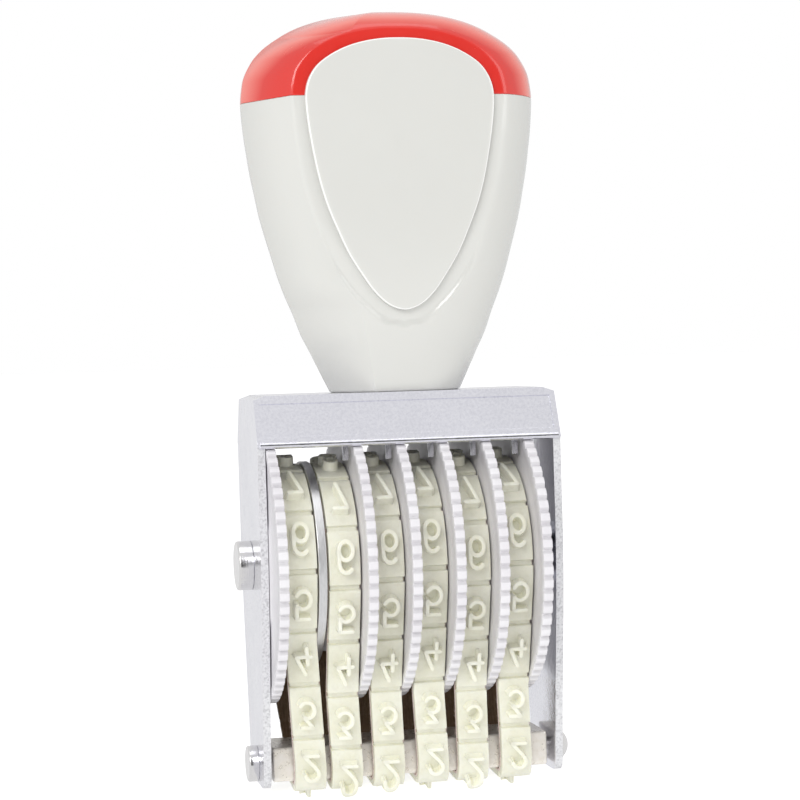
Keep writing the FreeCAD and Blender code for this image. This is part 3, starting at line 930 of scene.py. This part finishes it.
GLYPH = {
    '0': [arc(0, 0, 1.08, 2.12, 90, 450, 28)],
    '1': [[(-0.78, 1.28), (-0.35, 1.62), (0.12, 2.12), (0.12, 0.7), (0.12, -0.7), (0.12, -2.12)]],
    '2': [arc(0, 1.02, 1.06, 1.10, 168, -32, 16) + [(0.45, -0.25), (-0.4, -1.25), (-1.06, -2.12)], [(-1.06, -2.12), (0, -2.12), (1.08, -2.12)]],
    '3': [[(-1.0, 2.14), (0.62, 2.14), (-0.5, 0.5)], arc(-0.03, -0.82, 1.14, 1.32, 114, -146, 22)],
    '4': [[(0.12, 2.14), (-1.08, -0.72), (1.22, -0.72)], [(0.62, 0.5), (0.62, -2.16)]],
    '5': [[(1.0, 2.14), (-0.92, 2.14), (-0.96, 0.2)], arc(-0.02, -0.86, 1.16, 1.30, 143, -148, 22)],
    '6': [arc(0, -0.86, 1.08, 1.26, 90, 450, 22), [(-1.08, -0.86), (-1.08, 0.3)] + arc(0.0, 0.86, 1.08, 1.26, 180, 42, 14)],
    '7': [[(-1.04, 2.12), (0, 2.12), (1.04, 2.12), (0.55, 0.7), (0.1, -0.7), (-0.32, -2.12)]],
    '8': [arc(0, 1.12, 0.92, 1.0, 90, 450, 20), arc(0, -1.0, 1.1, 1.12, 90, 450, 22)],
    '9': [arc(0, 0.86, 1.08, 1.26, 90, 450, 22), [(1.08, 0.86), (1.08, -0.3)] + arc(0.0, -0.86, 1.08, 1.26, 0, -138, 14)],
    '-': [[(-0.9, 0), (0, 0), (0.9, 0)]],
    '/': [[(-0.8, -1.9), (0, 0), (0.8, 1.9)]],
    '.': [[(0, -1.95), (0.02, -1.9)]],
}
ORDER = ['1', '2', '3', '4', '5', '6', '7', '8', '9', '0', '-', '/', '.', None]


def resample(poly, step=0.16):
    out = [poly[0]]
    for a, b in zip(poly, poly[1:]):
        L = math.hypot(b[0] - a[0], b[1] - a[1])
        n = max(1, int(math.ceil(L / step)))
        for k in range(1, n + 1):
            out.append((a[0] + (b[0] - a[0]) * k / n, a[1] + (b[1] - a[1]) * k / n))
    return out


STROKE = [(-0.48, -0.12), (-0.43, 0.02), (-0.37, 0.3), (-0.33, 0.9), (-0.312, 1.26), (-0.298, 1.37), (-0.268, 1.43), (-0.215, REL),
          (0.0, REL), (0.215, REL), (0.268, 1.43), (0.298, 1.37), (0.312, 1.26), (0.33, 0.9), (0.37, 0.3), (0.43, 0.02), (0.48, -0.12)]


LIFT = [0]


def split_corners(poly, limit=32.0):
    """cut a line at its sharp corners, so that no offset folds over itself"""
    parts, cur = [], [poly[0]]
    for k in range(1, len(poly)):
        cur.append(poly[k])
        if k + 1 < len(poly):
            a = math.atan2(poly[k][1] - poly[k - 1][1], poly[k][0] - poly[k - 1][0])
            b = math.atan2(poly[k + 1][1] - poly[k][1], poly[k + 1][0] - poly[k][0])
            turn = abs((b - a + math.pi) % (2 * math.pi) - math.pi)
            if math.degrees(turn) > limit:
                parts.append(cur)
                cur = [poly[k]]
    parts.append(cur)
    return parts


def stroke_mesh(poly, place, verts, faces):
    for part in split_corners(poly):
        # each stroke ends a hair higher than the last, so crossing tops don't coincide
        lift = 0.007 * (LIFT[0] % 4)
        LIFT[0] += 1
        one_stroke(part, lambda a, b, h, z=lift: place(a, b, h + (z if h > 1.0 else 0.0)), verts, faces)


def one_stroke(poly, place, verts, faces):
    closed = math.hypot(poly[0][0] - poly[-1][0], poly[0][1] - poly[-1][1]) < 1e-6
    p = resample(poly)
    if closed:
        p = p[:-1]
    n = len(p)
    pts = []
    for i in range(n):
        if closed:
            a, b = p[i - 1], p[(i + 1) % n]
        else:
            a, b = p[max(i - 1, 0)], p[min(i + 1, n - 1)]
        tx, ty = b[0] - a[0], b[1] - a[1]
        L = math.hypot(tx, ty) or 1.0
        pts.append((p[i], (tx / L, ty / L)))
    sections = []
    if not closed:
        (x, y), (tx, ty) = pts[0]
        for t in (0.02, 0.25, 0.5, 0.75):
            w = math.sin(t * math.pi / 2)
            ext = math.cos(t * math.pi / 2)
            sections.append((x, y, tx, ty, w, -ext))
    for (x, y), (tx, ty) in pts:
        sections.append((x, y, tx, ty, 1.0, 0.0))
    if not closed:
        (x, y), (tx, ty) = pts[-1]
        for t in (0.75, 0.5, 0.25, 0.02):
            w = math.sin(t * math.pi / 2)
            ext = math.cos(t * math.pi / 2)
            sections.append((x, y, tx, ty, w, ext))
    base = len(verts)
    m = len(STROKE)
    for x, y, tx, ty, w, ext in sections:
        for u, h in STROKE:
            e = ext * abs(STROKE[0][0]) * (1 - 0.42 * min(max(h, 0) / REL, 1.0))
            px = x + tx * e + ty * u * w
            py = y + ty * e - tx * u * w
            verts.append(place(px, py, h))
    rows = len(sections)
    for j in range(rows if closed else rows - 1):
        a = base + j * m
        b = base + ((j + 1) % rows) * m
        for i in range(m - 1):
            faces.append((a + i, b + i, b + i + 1, a + i + 1))


def build_band(i):
    xc = band_centre(i) + XS
    vs = valleys(i)
    verts, faces = [], []
    # block body with stepped valleys between the blocks
    svals = []
    for k in range(BLOCKS):
        c = vs[k]
        nxt = vs[(k + 1) % BLOCKS] + (LOOP if k == BLOCKS - 1 else 0)
        for off in (-0.55, -0.47, -0.43, -0.39, -0.34, -0.1, 0.12, 0.30, 0.36, 0.40, 0.46, 0.55):
            svals.append((c + off, off))
        m = 22
        for t in range(1, m):
            svals.append((c + 0.55 + (nxt - c - 1.1) * t / m, None))
    svals.sort(key=lambda q: q[0])
    rnd = random.Random(31 * i)
    for s, off in svals:
        top = FAB + RUB
        if off is not None:
            if -0.40 < off < 0.34:
                top -= 0.50
            elif off in (-0.43, 0.36):
                top -= 0.34
            elif off in (-0.47, 0.40):
                top -= 0.06
        wob = 0.014 * noise.noise(Vector((s * 0.8, i * 3.1, 0.0)))
        ws = HW + 0.03 * noise.noise(Vector((s * 0.5, i * 7.7, 2.0)))
        if off is not None and -0.44 < off < 0.38:
            ws -= 0.13
        prof = [(-ws, FAB - 0.02), (-ws, top - 0.36), (-ws + 0.02, top - 0.16), (-ws + 0.06, top - 0.05), (-ws + 0.14, top - 0.01), (-ws + 0.26, top),
                (-ws * 0.4, top + 0.01), (ws * 0.4, top + 0.01), (ws - 0.26, top), (ws - 0.14, top - 0.01), (ws - 0.06, top - 0.05), (ws - 0.02, top - 0.16), (ws, top - 0.36), (ws, FAB - 0.02)]
        dx = drift(i, s)
        for x, d in prof:
            y, z = lp(s, d + wob)
            verts.append((xc + dx + x, y, z))
    prof_n = len(prof)
    n = len(svals)
    for j in range(n):
        a, b = j * prof_n, ((j + 1) % n) * prof_n
        for t in range(prof_n - 1):
            faces.append((a + t, a + t + 1, b + t + 1, b + t))
        faces.append((a + prof_n - 1, a, b, b + prof_n - 1))
    body = mesh_obj("band_%d_rubber" % i, verts, faces, RUBBER)
    recalc(body)
    sharp_by_angle(body.data, 38)
    # characters
    gv, gf = [], []
    for k, ch in enumerate(ORDER):
        if ch is None:
            continue
        # block k lies between valleys k - 2 and k - 1, counted from the one above the first two
        hi = vs[(k - 1) % BLOCKS]
        lo = vs[(k - 2) % BLOCKS]
        if lo > hi:
            lo -= LOOP
        c = (lo + hi) / 2 + rnd.uniform(-0.08, 0.08)
        tilt = rnd.uniform(-0.02, 0.02)
        ox = rnd.uniform(-0.08, 0.08)

        def place(gx, gy, h, c=c, tilt=tilt, ox=ox):
            x = gx + ox + tilt * gy
            s = c - gy + tilt * gx
            y, z = lp(s, FAB + RUB + h)
            return (xc + drift(i, s) + x, y, z)
        for poly in GLYPH[ch]:
            stroke_mesh(poly, place, gv, gf)
    # the characters take the lighter copy of the rubber, a painted highlight
    glyphs = mesh_obj("band_%d_characters" % i, gv, gf, RUBBER_PAINTED_LIGHT)
    recalc(glyphs)
    sharp_by_angle(glyphs.data, 40)
    for o in (body, glyphs):
        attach(o, "body")
    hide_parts("number_band_%d" % i)
    # woven backing
    fv, ff = [], []
    N = 620
    fw = 2.52
    cols = [-fw, -fw + 0.10, -1.2, 0.0, 1.2, fw - 0.10, fw]
    for j in range(N):
        s = LOOP * j / N
        e = 0.07 * noise.noise(Vector((s * 3.0, i * 5.0, 0.3)))
        e2 = 0.05 * noise.noise(Vector((s * 3.0, i * 5.0, 9.3)))
        dx = drift(i, s)
        for d in (0.03, FAB):
            for x in cols:
                xx = x + (abs(e) if x < -2 else -abs(e2) if x > 2 else 0)
                rp = 0.015 * math.sin(s * 14.0) * (1 if abs(x) < 2 else 0.4)
                y, z = lp(s, d + (rp if d < 0.1 else 0))
                fv.append((xc + dx + xx, y, z))
    m = 2 * len(cols)
    nc = len(cols)
    mats = []
    for j in range(N):
        a, b = j * m, ((j + 1) % N) * m
        for t in range(nc - 1):
            ff.append((a + t, b + t, b + t + 1, a + t + 1)); mats.append(0)
            ff.append((a + nc + t, a + nc + t + 1, b + nc + t + 1, b + nc + t)); mats.append(1 if t in (0, nc - 2) else 0)
        ff.append((a, a + nc, b + nc, b)); mats.append(1)
        ff.append((a + nc - 1, b + nc - 1, b + 2 * nc - 1, a + 2 * nc - 1)); mats.append(1)
    fab = mesh_obj("band_%d_backing" % i, fv, ff, WEAVE)
    fab.data.materials.append(EDGE)
    fab.data.polygons.foreach_set("material_index", mats[:len(fab.data.polygons)])
    recalc(fab)
    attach(fab, "body")
    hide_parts("band_backing_%d" % i)
    # loose threads at the cut edges
    tv, tf = [], []
    for q in range(90):
        front = rnd.random() < 0.65
        s = rnd.uniform(3.0, THREAD_TOP) if front else LOOP - rnd.uniform(3.0, THREAD_TOP)
        side = -1 if rnd.random() < 0.75 else 1
        L = rnd.uniform(0.25, 0.9)
        bend = rnd.uniform(-0.5, 0.5)
        slope = rnd.uniform(-0.9, 0.9)
        rad = rnd.uniform(0.012, 0.03)
        base = len(tv)
        for k in range(5):
            t = k / 4
            x = side * (fw - 0.05 + L * 0.42 * t)
            ss = s + bend * t * t + slope * L * t
            r = rad * (1 - 0.6 * t)
            for g in range(3):
                a = g * 2.094
                y, z = lp(ss + r * math.cos(a), 0.25 + r * math.sin(a) - 0.1 * t)
                tv.append((xc + drift(i, ss) + x, y, z))
        for k in range(4):
            for g in range(3):
                a0 = base + k * 3 + g
                a1 = base + k * 3 + (g + 1) % 3
                tf.append((a0, a1, a1 + 3, a0 + 3))
        tf.append((base + 12, base + 13, base + 14))
    th = mesh_obj("band_%d_threads" % i, tv, tf, EDGE)
    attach(th, "body")


for i in range(1, 7):
    build_band(i)

# ------------------------------------------------------------------- stage
def floor():
    verts, faces = [], []
    n = 40
    for j in range(n + 1):
        for k in range(n + 1):
            verts.append((-8 + 16 * k / n, -3 + 16 * j / n, -0.00002))
    for j in range(n):
        for k in range(n):
            a = j * (n + 1) + k
            faces.append((a, a + 1, a + n + 2, a + n + 1))
    m = M("studio_floor", (0.90, 0.90, 0.90), 0.9)
    m.bsdf.inputs["Emission Color"].default_value = (1, 1, 1, 1)
    m.bsdf.inputs["Emission Strength"].default_value = 0.62
    m.bump(m.noise(30, 2, 0.5), 0.0004, 0.03)
    o = mesh_obj("studio_floor", verts, faces, m.mat, True, 1.0)
    # the white of the floor is for the eye only, so it doesn't flood the piece with light
    o.visible_diffuse = False
    o.visible_glossy = False


floor()

w = bpy.data.worlds.new("studio")
scene.world = w
w.use_nodes = True
nt = w.node_tree
bg = nt.nodes["Background"]


def studio_world():
    """white to the eye; to the object a room with a bright ceiling, a grey front and one dark patch round the viewer"""
    tc = nt.nodes.new("ShaderNodeTexCoord")
    sep = nt.nodes.new("ShaderNodeSeparateXYZ")
    nt.links.new(tc.outputs["Generated"], sep.inputs[0])

    def mr(src, a, b, lo, hi):
        n = nt.nodes.new("ShaderNodeMapRange")
        n.interpolation_type = 'SMOOTHSTEP'
        for k, val in (("From Min", a), ("From Max", b), ("To Min", lo), ("To Max", hi)):
            n.inputs[k].default_value = val
        nt.links.new(src, n.inputs["Value"])
        return n.outputs["Result"]

    def op(kind, a, b):
        n = nt.nodes.new("ShaderNodeMath")
        n.operation = kind
        for i, val in enumerate((a, b)):
            if isinstance(val, (int, float)):
                n.inputs[i].default_value = val
            else:
                nt.links.new(val, n.inputs[i])
        return n.outputs[0]

    X, Y, Z = sep.outputs[0], sep.outputs[1], sep.outputs[2]
    # soft light: the room is bright in front and above, dim behind
    dif = op('MULTIPLY', mr(Y, -0.5, 0.8, 0.60, 0.18), mr(Z, -0.35, 0.15, 1.95, 1.0))
    dif = op('MULTIPLY', dif, op('MULTIPLY', mr(X, -0.9, 0.1, 1.5, 1.0), mr(X, 0.1, 0.9, 1.0, 1.4)))
    # what polished metal sees: bright walls behind and beside, a dark area round the viewer
    wall = mr(Z, 0.0, 0.95, 0.84, 0.80)
    dx = op('SUBTRACT', X, 0.16)
    dz = op('SUBTRACT', Z, 0.27)
    d2 = op('ADD', op('MULTIPLY', op('MULTIPLY', dx, dx), 8.0), op('MULTIPLY', op('MULTIPLY', dz, dz), 7.2))
    hole = mr(d2, 0.60, 1.0, 0.0, 1.0)
    isfront = mr(Y, -0.3, 0.1, 0.0, 1.0)
    hole = op('MAXIMUM', hole, isfront)
    gls = op('MULTIPLY', wall, op('ADD', op('MULTIPLY', hole, 0.90), 0.10))
    lp_ = nt.nodes.new("ShaderNodeLightPath")

    def mixf(fac, a, b):
        n = nt.nodes.new("ShaderNodeMix")
        n.data_type = 'FLOAT'
        nt.links.new(fac, n.inputs[0])
        for i, val in ((2, a), (3, b)):
            if isinstance(val, (int, float)):
                n.inputs[i].default_value = val
            else:
                nt.links.new(val, n.inputs[i])
        return n.outputs[0]

    out = mixf(lp_.outputs["Is Glossy Ray"], dif, gls)
    out = mixf(lp_.outputs["Is Camera Ray"], out, 1.0)
    nt.links.new(out, bg.inputs["Strength"])
    bg.inputs["Color"].default_value = (1.0, 1.0, 1.0, 1)


studio_world()


def area(name, loc, target, size, size_y, power, color=(1, 1, 1)):
    L = bpy.data.lights.new(name, 'AREA')
    L.shape = 'RECTANGLE'
    L.size, L.size_y = size, size_y
    L.energy = power
    L.color = color
    o = bpy.data.objects.new(name, L)
    link(o)
    o.location = loc
    d = Vector(target) - Vector(loc)
    o.rotation_euler = d.to_track_quat('-Z', 'Y').to_euler()
    return o


area("key", (-0.62, -0.88, 0.66), (0, 0, 0.05), 0.7, 0.5, 5.4)
area("fill", (0.75, -0.85, 0.40), (0, 0, 0.05), 0.5, 0.6, 1.2)
area("top", (0.0, -0.1, 1.0), (0, 0, 0.06), 0.7, 0.5, 1.2)

# ------------------------------------------------------------------ camera
def make_camera():
    yaw, pitch, roll, fpx = -0.2000, -0.0210, 0.0300, 2298.4
    pos = Vector((-0.072183 - 0.00025, -0.360123, 0.069818 + 0.0001))
    fwd = Vector((-math.sin(yaw) * math.cos(pitch), math.cos(yaw) * math.cos(pitch), math.sin(pitch)))
    right = fwd.cross(Vector((0, 0, 1))).normalized()
    up = right.cross(fwd)
    c, s = math.cos(roll), math.sin(roll)
    r2 = right * c - up * s
    u2 = up * c + right * s
    cam = bpy.data.cameras.new("camera")
    cam.sensor_width = 36.0
    cam.sensor_fit = 'HORIZONTAL'
    cam.lens = 36.0 * fpx / 800.0
    cam.clip_start = 0.01
    cam.clip_end = 20.0
    o = bpy.data.objects.new("camera", cam)
    link(o)
    m = Matrix((r2, u2, -fwd)).transposed().to_4x4()
    m.translation = pos
    o.matrix_world = m
    scene.camera = o


make_camera()
scene.view_settings.view_transform = 'Standard'
scene.view_settings.look = 'None'
